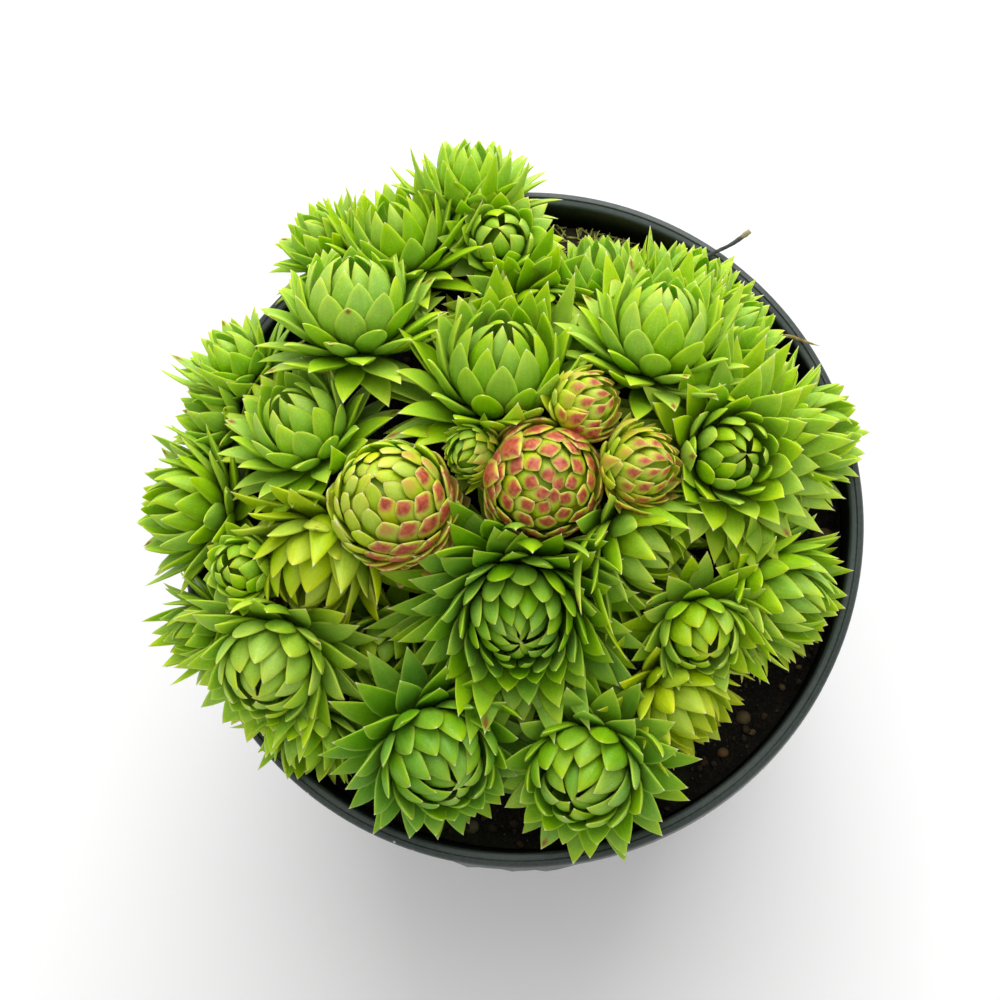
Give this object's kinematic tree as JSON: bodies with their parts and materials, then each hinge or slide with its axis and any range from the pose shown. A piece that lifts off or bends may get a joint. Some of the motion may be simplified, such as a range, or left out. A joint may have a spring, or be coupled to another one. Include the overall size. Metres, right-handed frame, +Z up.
{
  "type": "potted houseleek",
  "caption": "Clump of fleshy, pointed-leaved houseleek rosettes, some flushed red, crowded into a dome that swells over the rim of a round tapered nursery pot.",
  "frame": {"origin": "centre of the pot's flat underside", "axes": "+Z up through the pot's axis; +Y towards the side where the clump leans furthest over the rim, the top of the picture; +X to the right of the picture"},
  "size_m": [0.1399, 0.1409, 0.1552],
  "materials": {
    "pot": "moulded dark green-black plastic, satin, lightly scuffed and dusty",
    "soil": "dark moist potting compost with grit, pebbles and a little moss",
    "leaf_green": "fleshy leaf, satin, mid green, yellower at the edge and tip",
    "leaf_pale": "fleshy leaf, satin, pale grey-green face, yellower edge",
    "leaf_yellow": "fleshy leaf, satin, yellow-green",
    "leaf_red": "fleshy scale-like leaf, yellow-green edge with a brick-red patch on its back",
    "dry_stem": "dry woody stalk, dull and wrinkled",
    "dry_straw": "dry yellow straw"
  },
  "bodies": {
    "root": {"pot": "pot", "soil": "soil", "dry_stalk": "dry_stem", "dry_straw": "dry_straw", "rosette_01_back_rim": "leaf_pale", "rosette_02_back_left_open": "leaf_green", "rosette_03_back_left_rim": "leaf_green", "rosette_04_back_left_globe": "leaf_pale", "rosette_05_back_small": "leaf_green", "rosette_06_back_dark": "leaf_green", "rosette_07_back_right_small": "leaf_green", "rosette_08_back_right_wide": "leaf_green", "rosette_09_back_centre": "leaf_green", "rosette_10_right_back_globe": "leaf_pale", "rosette_11_right_back_rim": "leaf_pale", "rosette_12_right_open": "leaf_green", "rosette_13_right_rim": "leaf_green", "rosette_14_right_front_rim": "leaf_green", "rosette_15_right_front_small": "leaf_green", "rosette_16_front_right_yellow": "leaf_yellow", "rosette_17_front_right": "leaf_green", "rosette_18_front_left": "leaf_green", "rosette_19_left_front_globe": "leaf_pale", "rosette_20_left_front_under": "leaf_green", "rosette_21_left_front_rim": "leaf_green", "rosette_22_left_small": "leaf_green", "rosette_23_left_rim": "leaf_green", "rosette_24_left_back_rim": "leaf_pale", "rosette_25_left_back_low": "leaf_green", "rosette_26_left_globe": "leaf_pale", "rosette_27_left_yellow": "leaf_yellow", "rosette_28_red_left": "leaf_red", "rosette_29_red_centre": "leaf_red", "rosette_30_red_small": "leaf_red", "rosette_31_red_right": "leaf_red", "rosette_32_small_bud": "leaf_green", "rosette_33_front_largest": "leaf_green", "rosette_34_right_of_largest": "leaf_green", "rosette_35_deep_left": "leaf_green", "rosette_36_deep_right": "leaf_green"}
  },
  "joints": []
}
